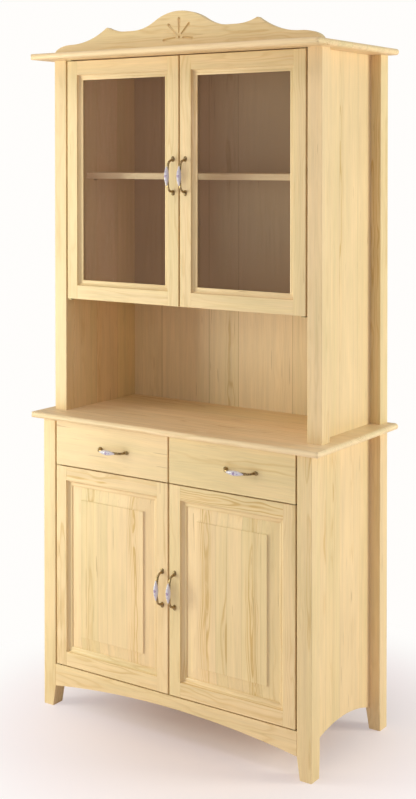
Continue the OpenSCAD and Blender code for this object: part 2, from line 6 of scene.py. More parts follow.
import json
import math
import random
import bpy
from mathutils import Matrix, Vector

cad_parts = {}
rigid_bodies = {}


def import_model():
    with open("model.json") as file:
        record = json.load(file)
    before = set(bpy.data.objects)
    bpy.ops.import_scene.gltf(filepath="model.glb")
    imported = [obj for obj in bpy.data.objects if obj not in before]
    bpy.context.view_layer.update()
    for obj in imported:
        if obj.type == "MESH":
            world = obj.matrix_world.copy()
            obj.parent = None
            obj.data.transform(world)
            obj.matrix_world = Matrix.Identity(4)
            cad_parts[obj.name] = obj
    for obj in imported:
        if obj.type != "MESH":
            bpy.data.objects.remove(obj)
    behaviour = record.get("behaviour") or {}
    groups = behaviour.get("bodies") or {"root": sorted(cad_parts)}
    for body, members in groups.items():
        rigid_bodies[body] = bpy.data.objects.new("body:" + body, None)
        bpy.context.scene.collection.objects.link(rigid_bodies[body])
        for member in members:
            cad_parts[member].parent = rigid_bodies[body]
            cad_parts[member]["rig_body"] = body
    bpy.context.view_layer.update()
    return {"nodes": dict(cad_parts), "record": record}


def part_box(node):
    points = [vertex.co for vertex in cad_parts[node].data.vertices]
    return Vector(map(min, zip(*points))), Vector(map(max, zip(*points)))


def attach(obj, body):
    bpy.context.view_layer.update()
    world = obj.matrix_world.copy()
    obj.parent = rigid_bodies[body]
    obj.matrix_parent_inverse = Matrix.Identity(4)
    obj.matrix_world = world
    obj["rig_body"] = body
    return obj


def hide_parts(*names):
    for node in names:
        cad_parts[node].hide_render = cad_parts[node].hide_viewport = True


bl_info = {
    "name": "Two-part pine dresser",
    "version": (1, 0, 0),
    "blender": (4, 5, 0),
    "location": "View3D > Sidebar > Dresser",
    "description": "Planed, carved and polished surfaces for a pine dresser with glazed doors",
    "category": "Object",
}

import bmesh
import bpy
from mathutils import Matrix, Vector

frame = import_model()

X, Y, Z = 0, 1, 2
SIDES = ("left", "right")
DOORS = ("upper_left", "upper_right", "lower_left", "lower_right")
GLAZED = DOORS[:2]
# Angles between two faces: below FLAT they are one face, above BLUNT their edge is eased, and an outer
# edge above SHARP is rounded off
FLAT, BLUNT, SHARP = math.radians(0.4), math.radians(35.0), math.radians(60.0)


# Sizes and colours

def length(name, about, default, top):
    """A size in metres that a user may change."""
    return bpy.props.FloatProperty(
        name=name, description=about, default=default, min=0.0, max=top,
        precision=5, subtype="DISTANCE", unit="LENGTH")


def share(name, about, default, top=1.0):
    """A plain factor from 0 up."""
    return bpy.props.FloatProperty(
        name=name, description=about, default=default, min=0.0, max=top, subtype="FACTOR")


def colour(name, about, default):
    """A colour in linear light."""
    return bpy.props.FloatVectorProperty(
        name=name, description=about, default=default, size=3, min=0.0, max=1.0, subtype="COLOR")


def power(name, about, default):
    """The power of a lamp in watts."""
    return bpy.props.FloatProperty(
        name=name, description=about, default=default, min=0.0, subtype="POWER", unit="POWER")


def angle(name, about, degrees):
    """An angle whose default is given in degrees."""
    return bpy.props.FloatProperty(
        name=name, description=about, default=math.radians(degrees), subtype="ANGLE", unit="ROTATION")


class PineProperties(bpy.types.PropertyGroup):
    """The wood and how it is planed."""
    cream: colour("Cream", "Early wood of the yellower staves", (0.825, 0.634, 0.350))
    blush: colour("Blush", "Early wood of the pinker staves", (0.83, 0.608, 0.362))
    amber: colour("Amber", "Late wood, the darker line of each year", (0.64, 0.41, 0.16))
    resin: colour("Resin", "Short resin streaks", (0.40, 0.235, 0.10))
    milk: colour("Milk", "Wood that lost its colour to light and wiping", (0.84, 0.72, 0.58))
    seam: colour("Seam", "Glue line between two staves", (0.55, 0.38, 0.19))
    year: length("Year", "Mean width of a year's growth", 0.0070, 0.02)
    line: share("Line strength", "How strongly the late wood shows", 0.68)
    arris: length("Arris", "Width that the outer upright edges are rounded by", 0.0020, 0.004)
    edge: length("Edge", "Width that every other sharp edge is eased by", 0.0006, 0.004)
    gloss: share("Roughness", "Roughness of the waxed surface", 0.46)


class CrestProperties(bpy.types.PropertyGroup):
    """The sunburst that is carved into the crest."""
    groove: length("Groove width", "Width of a ray where it is widest", 0.0102, 0.02)
    cut: length("Groove depth", "Depth of a ray under the face", 0.0054, 0.01)
    rise: length("Centre height", "Height of the burst's centre over the cornice", 0.030, 0.1)
    start: length("Ray start", "Gap between the centre and each ray", 0.010, 0.05)
    hub: length("Hub width", "Width of the dimple in the middle", 0.0085, 0.03)


class HandleProperties(bpy.types.PropertyGroup):
    """The bowed handles with their porcelain grips."""
    bronze: colour("Bronze", "Rubbed metal", (0.50, 0.36, 0.18))
    tarnish: colour("Tarnish", "Dark metal in the hollows", (0.20, 0.14, 0.075))
    glaze: colour("Glaze", "White of the porcelain", (0.70, 0.655, 0.75))
    petal: colour("Petal", "Violet of the painted flower", (0.20, 0.085, 0.34))
    leaf: colour("Leaf", "Paler violet of the painted sprigs", (0.36, 0.32, 0.58))
    foot_length: length("Foot length", "Length of the oval foot", 0.0165, 0.03)
    foot_width: length("Foot width", "Width of the oval foot", 0.0115, 0.03)
    foot_height: length("Foot height", "Height of the domed foot", 0.0045, 0.01)
    grip_length: length("Grip length", "Length of the porcelain", 0.056, 0.08)
    grip_width: length("Grip width", "Width of the porcelain in the middle", 0.0145, 0.03)


class GlassProperties(bpy.types.PropertyGroup):
    """The panes."""
    tint: colour("Tint", "Body colour of the pane", (0.375, 0.210, 0.142))
    cover: share("Cover", "How much of what is behind the pane it hides", 0.15)


class FittingProperties(bpy.types.PropertyGroup):
    """The hinge plates and the shelf pins."""
    plating: colour("Plating", "Yellowish plating of the steel", (0.46, 0.36, 0.20))
    dull: colour("Dull plating", "Plating that has lost its shine", (0.34, 0.26, 0.14))


class StageProperties(bpy.types.PropertyGroup):
    """Floor, light and camera."""
    floor: colour("Floor", "The pale floor", (0.98, 0.87, 0.94))
    smudge: colour("Floor clouds", "Faint clouds in the floor's colour", (0.80, 0.78, 0.77))
    haze: colour("Haze", "Backdrop that the floor fades into", (1.0, 0.985, 0.965))
    mist: colour("Mist", "Colour of the haze near the cabinet", (1.0, 0.93, 0.93))
    air: colour("Air", "Colour of the even light from all round", (0.94, 1.0, 0.97))
    glow: colour("Glow", "Colour of the lamps beside and before the cabinet", (0.97, 1.0, 0.787))
    spill: colour("Spill", "Colour of the weak light over the front", (1.0, 0.862, 0.806))
    sky: share("Sky", "Strength of the even light from all round", 0.40, 4.0)
    key: power("Key", "Power of the soft light at the front left", 54.7)
    side: power("Side", "Power of the soft light at the right rear", 86.0)
    top: power("Top", "Power of the weak light over the front", 13.9)
    fill: power("Fill", "Power of the faint light in front", 6.1)
    lens: bpy.props.FloatProperty(
        name="Lens", description="Focal length in millimetres", default=59.471, min=1.0)
    stand: bpy.props.FloatVectorProperty(
        name="Camera place", description="Where the camera stands", size=3,
        default=(2.1946, -3.1718, 1.6332), subtype="TRANSLATION", unit="LENGTH")
    turn: angle("Camera turn", "Turn of the camera to the left", 34.324)
    tilt: angle("Camera tilt", "Tilt of the camera below the horizon", 1.0)


# Shader writing

class Wire:
    """One output of a shader node. Arithmetic on it adds Math nodes."""

    def __init__(self, finish, socket):
        self.finish, self.socket = finish, socket

    def __add__(self, other):
        return self.finish.math("ADD", self, other)

    def __sub__(self, other):
        return self.finish.math("SUBTRACT", self, other)

    def __mul__(self, other):
        return self.finish.math("MULTIPLY", self, other)

    def __truediv__(self, other):
        return self.finish.math("DIVIDE", self, other)

    def __radd__(self, other):
        return self.finish.math("ADD", other, self)

    def __rsub__(self, other):
        return self.finish.math("SUBTRACT", other, self)

    def __rmul__(self, other):
        return self.finish.math("MULTIPLY", other, self)

    def __rtruediv__(self, other):
        return self.finish.math("DIVIDE", other, self)

    def __abs__(self):
        return self.finish.math("ABSOLUTE", self)

    def least(self, other):
        return self.finish.math("MINIMUM", self, other)

    def most(self, other):
        return self.finish.math("MAXIMUM", self, other)

    def whole(self):
        """The whole number below it."""
        return self.finish.math("FLOOR", self)

    def rest(self):
        """What it has over that whole number."""
        return self.finish.math("FRACT", self)

    def root(self):
        return self.finish.math("SQRT", self)

    def swing(self, reach):
        """A noise between 0 and 1 as a swing of that much about zero."""
        return (self - 0.5) * reach

    def rise(self, low, high):
        """0 under low, 1 over high, and a smooth climb between them."""
        return self.finish.add("ShaderNodeMapRange", {"interpolation_type": "SMOOTHSTEP"},
                               {"Value": self, "From Min": low, "From Max": high})


class Finish:
    """A material or world and the one way of adding nodes to it."""

    def __init__(self, owner):
        owner.use_nodes = True
        self.owner, self.tree = owner, owner.node_tree
        self.tree.nodes.clear()

    def add(self, kind, settings=None, sockets=None, out=None):
        """Adds a node of that type: its settings come first, then its sockets' values or links.

        Gives the output named by out, a list of outputs for a tuple of names, or else the first one.
        """
        node = self.tree.nodes.new(kind)
        for name, value in (settings or {}).items():
            if name == "stops":
                stops = node.color_ramp.elements
                while len(stops) < len(value):
                    stops.new(0.5)
                for stop, (place, level) in zip(stops, value):
                    stop.position = place
                    stop.color = (level, level, level, 1.0)
            else:
                setattr(node, name, value)
        for name, value in (sockets or {}).items():
            target = next(s for s in node.inputs if s.identifier == name)
            if isinstance(value, Wire):
                self.tree.links.new(value.socket, target)
            elif target.type == "RGBA" and len(value) == 3:
                target.default_value = (*value, 1.0)
            else:
                target.default_value = value
        if not node.outputs:
            return node
        if isinstance(out, tuple):
            return [Wire(self, next(s for s in node.outputs if s.identifier == o)) for o in out]
        chosen = node.outputs[0] if out is None else next(s for s in node.outputs if s.identifier == out)
        return Wire(self, chosen)

    def math(self, operation, *values):
        """A Math node on one or two values."""
        sockets = dict(zip(("Value", "Value_001"), values))
        return self.add("ShaderNodeMath", {"operation": operation}, sockets)

    def field(self, name):
        """The vector that the mesh carries under that name."""
        return self.add("ShaderNodeAttribute", {"attribute_name": name}, out="Vector")

    def parts(self, vector):
        return self.add("ShaderNodeSeparateXYZ", None, {"Vector": vector}, out=("X", "Y", "Z"))

    def noise(self, vector, waves, detail=2.0, rough=0.5, out="Fac"):
        """Noise with that many waves per metre along each axis."""
        scaled = self.add("ShaderNodeVectorMath", {"operation": "MULTIPLY"},
                          {"Vector": vector, "Vector_001": waves})
        return self.add("ShaderNodeTexNoise", {"noise_dimensions": "3D"},
                        {"Vector": scaled, "Scale": 1.0, "Detail": detail, "Roughness": rough}, out=out)

    def mix(self, factor, first, second, how="MIX"):
        return self.add("ShaderNodeMix", {"data_type": "RGBA", "blend_type": how, "clamp_factor": True},
                        {"Factor_Float": factor, "A_Color": first, "B_Color": second}, out="Result_Color")

    def bump(self, height, strength, reach):
        return self.add("ShaderNodeBump", None, {"Height": height, "Strength": strength, "Distance": reach})

    def surface(self, **sockets):
        """Ends the tree in a surface shader with those sockets."""
        named = {name.replace("_", " "): value for name, value in sockets.items()}
        body = self.add("ShaderNodeBsdfPrincipled", None, named)
        self.add("ShaderNodeOutputMaterial", None, {"Surface": body})
        return self.owner


# Waves per metre of what varies in the pine: across a board, through it and along its grain
HEART, RIPPLE, SWAY = (1.5, 1.5, 3.1), (30.0, 30.0, 9.0), (5.0, 5.0, 9.0)
DRIFT, FIBRE, CLOUD = (38.0, 38.0, 0.9), (700.0, 700.0, 14.0), (15.0, 15.0, 3.2)
BAND, STREAK = (85.0, 85.0, 2.6), (190.0, 190.0, 9.0)
# How dark one year's growth is, from its first wood to its last
GROWTH = ((0.0, 0.35), (0.25, 0.0), (0.55, 0.15), (0.82, 1.0), (0.90, 0.9), (1.0, 0.35))
# Painted shade: the back board is darkened over these heights, behind the panes, and over these depths its
# rear is spared
PAINTED_SHADE_HEIGHT, PAINTED_SHADE_DEPTH = (1.21, 1.24), (0.192, 0.194)


def pine_finish(name, look, depth=1.0, lines=1.0, warm=0.0, mixed=1.0, milk=0.0, dusk=0.0,
                plain=0.6, joint=0.4):
    """Waxed pine that follows each board's own grain.

    depth is its brightness, lines how strongly it is figured, and mixed how much its staves differ.
    warm leans it to the blush, milk bleaches it, and dusk darkens what is behind the panes as painted
    shade. plain is how strongly the wood away from its heart is figured, and joint how dark its glue lines
    are.
    """
    f = Finish(bpy.data.materials.new(name))
    grain = f.field("grain")
    across, under, _ = f.parts(grain)
    tone, left, right = f.parts(f.field("board"))

    # The years lie round a heart that wanders, so the distance from it gives the year
    wander, sink, patch = f.add(
        "ShaderNodeSeparateColor", None, {"Color": f.noise(grain, HEART, 2.5, 0.55, "Color")},
        out=("Red", "Green", "Blue"))
    ripple = f.noise(grain, RIPPLE, 2.0, 0.5)
    sway = f.noise(grain, SWAY, 1.0, 0.5)
    sideways = across + wander.swing(0.030) + sway.swing(0.015)
    downward = under + sink.swing(0.044)
    radius = (sideways * sideways + downward * downward).root() + ripple.swing(0.0050)
    drift = f.noise(grain, DRIFT, 1.0, 0.5)
    years_of_drift, first_year = 5.0, 40.0
    years = radius / look.year + drift * years_of_drift + first_year
    late = f.add("ShaderNodeValToRGB", {"stops": GROWTH}, {"Fac": years.rest()}, out="Color")
    chance = f.add("ShaderNodeTexWhiteNoise", {"noise_dimensions": "1D"},
                   {"W": years.whole() + tone * 7.0}, out="Value")
    at_heart = 1.8
    figure = at_heart - (at_heart - plain) * radius.rise(0.008, 0.026)
    pith = (1.0 - radius.rise(0.002, 0.018)) * 0.15
    shown = late * (0.25 + 0.75 * chance) * (0.40 + patch.rise(0.38, 0.70)) * figure + pith

    fibre = f.noise(grain, FIBRE, 2.0, 0.6)
    cloud = f.noise(grain, CLOUD, 3.0, 0.6)
    band = f.noise(grain, BAND, 2.0, 0.55)
    streak = f.noise(grain, STREAK, 0.0, 0.5).rise(0.80, 0.84)
    seam = 1.0 - left.least(right).rise(0.0003, 0.0020)

    hue = 0.5 + warm + 0.42 * mixed * tone + cloud.swing(1.4) + drift.swing(0.9)
    wood = f.mix(hue.rise(0.0, 1.0), look.cream, look.blush)
    wood = f.mix(shown * (look.line * lines), wood, look.amber)
    wood = f.mix(milk, wood, look.milk)
    wood = f.mix(streak * 0.45, wood, look.resin)
    wood = f.mix(seam * joint, wood, look.seam)
    shade = 1.0 + fibre.swing(0.22) + cloud.swing(0.30) + band.swing(0.24) + tone * (0.025 * mixed)
    # Painted shade: the wood behind the panes, inside the glazed case, is darkened where shade falls there
    if dusk > 0.0:
        _, back, height = f.parts(f.add("ShaderNodeNewGeometry", out="Position"))
        shade = shade * (1.0 - dusk * height.rise(*PAINTED_SHADE_HEIGHT) * (1.0 - back.rise(*PAINTED_SHADE_DEPTH)))
    shade = shade * depth
    grey = f.add("ShaderNodeCombineColor", None, {"Red": shade, "Green": shade, "Blue": shade})
    wood = f.mix(1.0, wood, grey, "MULTIPLY")
    return f.surface(
        Base_Color=wood,
        Roughness=look.gloss + fibre.swing(0.20) + shown * 0.06,
        Normal=f.bump(fibre * 0.6 + shown * 0.5 - seam * 0.8 - streak * 0.4, 0.35, 0.0002),
        Coat_Weight=0.08, Coat_Roughness=0.35)


def bronze_finish(name, look):
    """Antiqued bronze: rubbed bright where it is handled and dark elsewhere."""
    f = Finish(bpy.data.materials.new(name))
    place = f.add("ShaderNodeNewGeometry", out="Position")
    cloud = f.noise(place, (260.0,) * 3, 3.0, 0.6)
    grit = f.noise(place, (1500.0,) * 3, 2.0, 0.6)
    worn = cloud.rise(0.36, 0.66)
    return f.surface(
        Base_Color=f.mix(worn, look.tarnish, look.bronze),
        Metallic=1.0,
        Roughness=0.46 - worn * 0.16 + grit.swing(0.12),
        Normal=f.bump(cloud * 0.7 + grit * 0.3, 0.25, 0.0002))


def porcelain_finish(name, look):
    """White glaze with a small flower and two sprigs, painted in violet."""
    petals, petal_length, petal_wave = 5.0, 0.0044, 0.0014
    stem_turns, stem_swing, bud_place = 420.0, 0.0011, 0.0118
    f = Finish(bpy.data.materials.new(name))
    spot = f.field("paint")
    along, over, _ = f.parts(spot)
    reach = (along * along + over * over).root()
    turn = f.math("ARCTAN2", over, along)
    smudge = f.noise(spot, (700.0,) * 3, 2.0, 0.5)
    lobes = f.math("COSINE", turn * petals)
    flower = 1.0 - (reach / (petal_length + petal_wave * lobes)).rise(0.72, 1.0)
    eye = 1.0 - reach.rise(0.0007, 0.0013)
    stem = abs(over - f.math("SINE", along * stem_turns) * stem_swing)
    aside = abs(along)
    sprig = (1.0 - stem.rise(0.0005, 0.0010)) * aside.rise(0.0052, 0.0062) \
        * (1.0 - aside.rise(0.013, 0.0155))
    bud = aside - bud_place
    buds = 1.0 - (bud * bud + over * over).root().rise(0.0014, 0.0022)
    paint = f.mix(flower * (0.75 + 0.25 * smudge), look.glaze, look.petal)
    paint = f.mix((sprig * 0.8).most(buds * 0.85), paint, look.leaf)
    paint = f.mix(eye, paint, look.glaze)
    body = f.noise(spot, (90.0,) * 3, 1.0, 0.5)
    paint = f.mix(body.swing(0.25), paint, look.leaf)
    return f.surface(Base_Color=paint, Roughness=0.10 + smudge * 0.08, Coat_Weight=0.5, Coat_Roughness=0.05,
                     Normal=f.bump(body, 0.08, 0.0002))


def steel_finish(name, look):
    """Dull plated steel for the hinge plates and pins."""
    f = Finish(bpy.data.materials.new(name))
    place = f.add("ShaderNodeNewGeometry", out="Position")
    brushed = f.noise(place, (1800.0, 1800.0, 90.0), 2.0, 0.6)
    cloud = f.noise(place, (150.0,) * 3, 2.0, 0.5)
    return f.surface(
        Base_Color=f.mix(cloud, look.dull, look.plating), Metallic=0.7,
        Roughness=0.44 + brushed.swing(0.18), Normal=f.bump(brushed, 0.12, 0.0001))


def glass_finish(name, look):
    """Float glass that lets the shelves be seen through a brown tint."""
    f = Finish(bpy.data.materials.new(name))
    place = f.add("ShaderNodeNewGeometry", out="Position")
    wave = f.noise(place, (5.0, 5.0, 3.0), 1.0, 0.5)
    weak, strong = (tuple(part * c for c in look.tint) for part in (0.9, 1.1))
    return f.surface(
        Base_Color=f.mix(wave, weak, strong), Roughness=0.03 + wave * 0.03,
        Alpha=look.cover + wave.swing(0.04), Specular_IOR_Level=0.06)


def finish_named(name, maker, *values, **options):
    """The material of that name, made at its first use."""
    return bpy.data.materials.get(name) or maker(name, *values, **options)


# How the waxed pines differ from the plain one
PINES = {
    "solid pine": {"lines": 1.2, "mixed": 0.6},
    # A brighter, paler copy of the pine for the display shelf: a painted highlight for the light that
    # reaches its edge through the panes
    "pale pine": {"depth": 1.14, "lines": 0.5, "milk": 0.25},
    "pine panel": {"lines": 1.35, "mixed": 1.2, "plain": 0.08, "joint": 0.3},
    "side panel": {"lines": 1.3, "mixed": 1.2, "warm": 0.12, "plain": 0.25},
    "drawer front": {"lines": 0.9, "mixed": 0.6, "plain": 0.25},
    "inner board": {"depth": 0.93, "warm": 0.25, "milk": 0.15},
    # The back board carries painted shade behind the panes
    "back board": {"depth": 0.94, "lines": 1.2, "warm": 0.25, "milk": 0.15, "dusk": 0.50, "plain": 0.3,
                   "joint": 0.9},
    "countertop": {"depth": 1.07, "lines": 1.6, "warm": 0.08, "milk": 0.20, "plain": 0.9},
    "cornice": {"depth": 1.08, "lines": 1.4, "mixed": 1.2, "warm": 0.12, "milk": 0.1, "plain": 0.5},
}


def waxed(kind):
    """The waxed pine of that kind."""
    return finish_named(f"Waxed {kind}", pine_finish, bpy.context.scene.dresser_pine, **PINES[kind])


# Mesh work

def cad_copy(node):
    """The node's solids as a closed mesh, with its flat faces whole again."""
    bm = bmesh.new()
    bm.from_mesh(frame["nodes"][node].data)
    bmesh.ops.remove_doubles(bm, verts=bm.verts, dist=1e-6)
    bmesh.ops.dissolve_limit(bm, angle_limit=FLAT, verts=bm.verts, edges=bm.edges)
    return bm


def mesh_of(bm, name):
    """The finished mesh under that name. The bmesh ends here."""
    mesh = bpy.data.meshes.new(name)
    bm.to_mesh(mesh)
    bm.free()
    return mesh


def placed(name, data):
    """A new object with that mesh, lamp or camera, in the scene."""
    thing = bpy.data.objects.new(name, data)
    bpy.context.scene.collection.objects.link(thing)
    return thing


def round_off(bm, axis, width, reach=0.013):
    """Rounds the edges along an axis that lie within reach of the board's outer corners."""
    low, high = extent(bm.faces)
    outer = []
    for edge in bm.edges:
        a, b = (v.co for v in edge.verts)
        middle, way = (a + b) / 2, (b - a).normalized()
        near = [min(middle[i] - low[i], high[i] - middle[i]) < reach for i in range(3) if i != axis]
        if abs(way[axis]) > 0.9 and all(near) and edge.is_manifold and edge.is_convex \
                and edge.calc_face_angle() > SHARP:
            outer.append(edge)
    bmesh.ops.bevel(bm, geom=outer, offset=width, offset_type="OFFSET", segments=3, profile=0.5,
                    affect="EDGES", clamp_overlap=True)


def ease(bm, width, shortest=0.0035):
    """Takes the sharpness off the outward edges, as sandpaper does. Short edges of holes are left."""
    if width <= 0:
        return
    sharp = [e for e in bm.edges if e.is_manifold and e.is_convex
             and e.calc_face_angle() > BLUNT and e.calc_length() > shortest]
    bmesh.ops.bevel(bm, geom=sharp, offset=width, offset_type="OFFSET", segments=2, profile=0.5,
                    affect="EDGES", clamp_overlap=True)


def solids(bm):
    """The separate solids of a mesh, each as its list of faces."""
    bm.faces.ensure_lookup_table()
    seen, found = set(), []
    for face in bm.faces:
        if face.index in seen:
            continue
        seen.add(face.index)
        group, todo = [], [face]
        while todo:
            here = todo.pop()
            group.append(here)
            for edge in here.edges:
                for other in edge.link_faces:
                    if other.index not in seen:
                        seen.add(other.index)
                        todo.append(other)
        found.append(group)
    return found


def extent(faces):
    """Lowest and highest corner of some faces."""
    points = [v.co for face in faces for v in face.verts]
    return [min(p[i] for p in points) for i in range(3)], [max(p[i] for p in points) for i in range(3)]


def split(bm, axis, places):
    """Cuts the faces along planes across that axis, so that each belongs to one stave."""
    normal = Vector((0, 0, 0))
    normal[axis] = 1.0
    for place in places:
        bmesh.ops.bisect_plane(bm, geom=[*bm.verts, *bm.edges, *bm.faces], plane_co=normal * place,
                               plane_no=normal, dist=1e-7)


def board_axes(low, high, along=None):
    """A board's axes along its grain, through it and across it.

    Where along isn't given, the grain runs the longest way.
    """
    size = [high[i] - low[i] for i in range(3)]
    run = along if along is not None else max(range(3), key=lambda i: size[i])
    through, wide = sorted((i for i in range(3) if i != run), key=lambda i: (round(size[i], 3), i != Y))
    return run, through, wide


# Where a stave lies in its log: distance before or behind the heart, distance to its side in half widths,
# of which a narrow stave has at least LEAST_HALF, and the range of places along the trunk
HEART_DEPTH, HEART_SIDE, LEAST_HALF, TRUNK = (0.016, 0.060), (0.25, 0.9, 1.6), 0.02, 40.0
NO_SEAM = 1.0   # distance to a glue line for a side that has none


def lay_grain(bm, name, along=None, seams=(), piths=()):
    """Gives each corner its place in the log its board was sawn from, and each stave its own tone.

    along is the grain's axis, or None for each solid's longest side. seams are the glue lines' places
    across the board. Each of piths sets the log's heart for the stave it lies in: its place across the
    board, and its distance before the board's middle.
    """
    bm.faces.index_update()
    grain = bm.loops.layers.float_vector.new("grain")
    board = bm.loops.layers.float_vector.new("board")
    groups = sorted(solids(bm), key=lambda group: tuple(round(c, 4) for c in extent(group)[0]))
    for number, faces in enumerate(groups):
        low, high = extent(faces)
        run, through, wide = board_axes(low, high, along)
        marks = [low[wide], *[s for s in seams if low[wide] + 1e-4 < s < high[wide] - 1e-4], high[wide]]
        cuts = []
        for k, (start, end) in enumerate(zip(marks, marks[1:])):
            dice = random.Random(f"{name} {number} {k}")
            middle, half = (start + end) / 2, (end - start) / 2
            off, deep = dice.uniform(-1.0, 1.0), dice.uniform(*HEART_DEPTH)
            offset = dice.choice(HEART_SIDE) * off * max(half, LEAST_HALF)
            deep *= dice.choice((-1, 1))
            for place, before in piths:
                if start <= place < end:
                    offset, deep = place - middle, -before
            cuts.append((middle + offset, low[through] + (high[through] - low[through]) / 2 + deep,
                         dice.uniform(0.0, TRUNK), dice.uniform(-1.0, 1.0), start, end))
        last = len(cuts) - 1
        for face in faces:
            centre = face.calc_center_median()[wide]
            k = sum(1 for m in marks[1:-1] if centre > m)
            pith, core, shift, tone, start, end = cuts[k]
            for loop in face.loops:
                p = loop.vert.co
                loop[grain] = (p[wide] - pith, p[through] - core, p[run] + shift)
                loop[board] = (tone, p[wide] - start if k else NO_SEAM,
                               end - p[wide] if k < last else NO_SEAM)


def body_of(node):
    """The CAD body that a node rides on."""
    return frame["nodes"][node]["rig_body"]


def slot_of(node):
    """The record's material slot of a node."""
    rows = frame["record"]["subparts"]
    return next(row["material_slot"] for row in rows if row["node"] == node)


def stand_for(bm, node, ending, finish, smooth=38.0):
    """The mesh as a piece that stands for a CAD node: it rides on its body, and the node's slot is only
    looked up.
    """
    name = f"{node}.{ending}"
    bm.normal_update()
    mesh = mesh_of(bm, name)
    mesh.polygons.foreach_set("use_smooth", [True] * len(mesh.polygons))
    mesh.set_sharp_from_angle(angle=math.radians(smooth))
    mesh.materials.append(finish)
    piece = placed(name, mesh)
    piece.modifiers.new("Even shading", "WEIGHTED_NORMAL").keep_sharp = True
    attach(piece, body_of(node))
    slot_of(node)
    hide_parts(node)


def planed(node, finish, along=None, seams=(), piths=(), width=None, rounded=None, shape=None):
    """Replaces a wooden node with its planed board: eased edges, grain and finish.

    rounded is the axis whose outer edges are rounded off more, width how far the other edges are eased
    where it isn't the usual, and shape a function that takes more off the mesh.
    """
    look = bpy.context.scene.dresser_pine
    bm = cad_copy(node)
    if rounded is not None:
        round_off(bm, rounded, look.arris)
    ease(bm, look.edge if width is None else width)
    if shape:
        bm = shape(bm)
    if seams:
        _, _, wide = board_axes(*extent(bm.faces), along)
        split(bm, wide, seams)
    lay_grain(bm, node, along, seams, piths)
    stand_for(bm, node, "planed", finish)


def dress(node, finish):
    """Gives a CAD node its finish and leaves its shape."""
    thing = frame["nodes"][node]
    thing.data.materials.clear()
    thing.data.materials.append(finish)


def staves(node, axis, mean):
    """Glue lines across a wide board, at uneven steps near the mean width."""
    low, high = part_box(node)
    count = max(2, round((high[axis] - low[axis]) / mean))
    step = (high[axis] - low[axis]) / count
    dice = random.Random(f"staves {node} 0")
    return [low[axis] + step * (k + dice.uniform(-0.22, 0.22)) for k in range(1, count)]


# Pieces

class DRESSER_OT_posts(bpy.types.Operator):
    """Planes the eight corner posts"""
    bl_idname = "dresser.posts"
    bl_label = "Corner posts"

    def execute(self, context):
        for part in ("lower", "upper"):
            for place in ("front", "rear"):
                for side in SIDES:
                    planed(f"{part}_post_{place}_{side}", waxed("solid pine"), along=Z, rounded=Z)
        return {"FINISHED"}


class DRESSER_OT_panels(bpy.types.Operator):
    """Planes the side panels, the backs and the arched apron"""
    bl_idname = "dresser.panels"
    bl_label = "Sides, backs and apron"
    side_stave, back_stave = 0.095, 0.120
    back_joints = (-0.310, -0.128, -0.019, 0.174, 0.330)
    # Hearts that show: place across the panel, and distance before its middle
    hearts = {"lower": ((-0.030, 0.005), (0.085, 0.012)), "upper": ((0.010, 0.005),)}

    def execute(self, context):
        for part, piths in self.hearts.items():
            for side in SIDES:
                node = f"{part}_side_{side}"
                joints = staves(node, Y, self.side_stave)
                planed(node, waxed("side panel"), along=Z, seams=joints, piths=piths)
        planed("upper_back", waxed("back board"), along=Z, seams=self.back_joints)
        planed("lower_back", waxed("inner board"), along=Z, seams=staves("lower_back", X, self.back_stave))
        planed("front_apron", waxed("solid pine"), along=X)
        return {"FINISHED"}


class DRESSER_OT_boards(bpy.types.Operator):
    """Planes the countertop, the cornice, the floors and the shelves"""
    bl_idname = "dresser.boards"
    bl_label = "Countertop, cornice, floors and shelves"
    stave = 0.090
    # The display shelf takes the brighter copy of the pine, a painted highlight
    kinds = {"countertop": "countertop", "cornice_board": "cornice", "cupboard_floor": "inner board",
             "cupboard_shelf": "inner board", "drawer_rest_board": "inner board",
             "display_floor": "inner board", "display_shelf": "pale pine"}

    def execute(self, context):
        for node, kind in self.kinds.items():
            planed(node, waxed(kind), along=X, seams=staves(node, Y, self.stave))
        planed("drawer_divider", waxed("inner board"), along=Y)
        return {"FINISHED"}


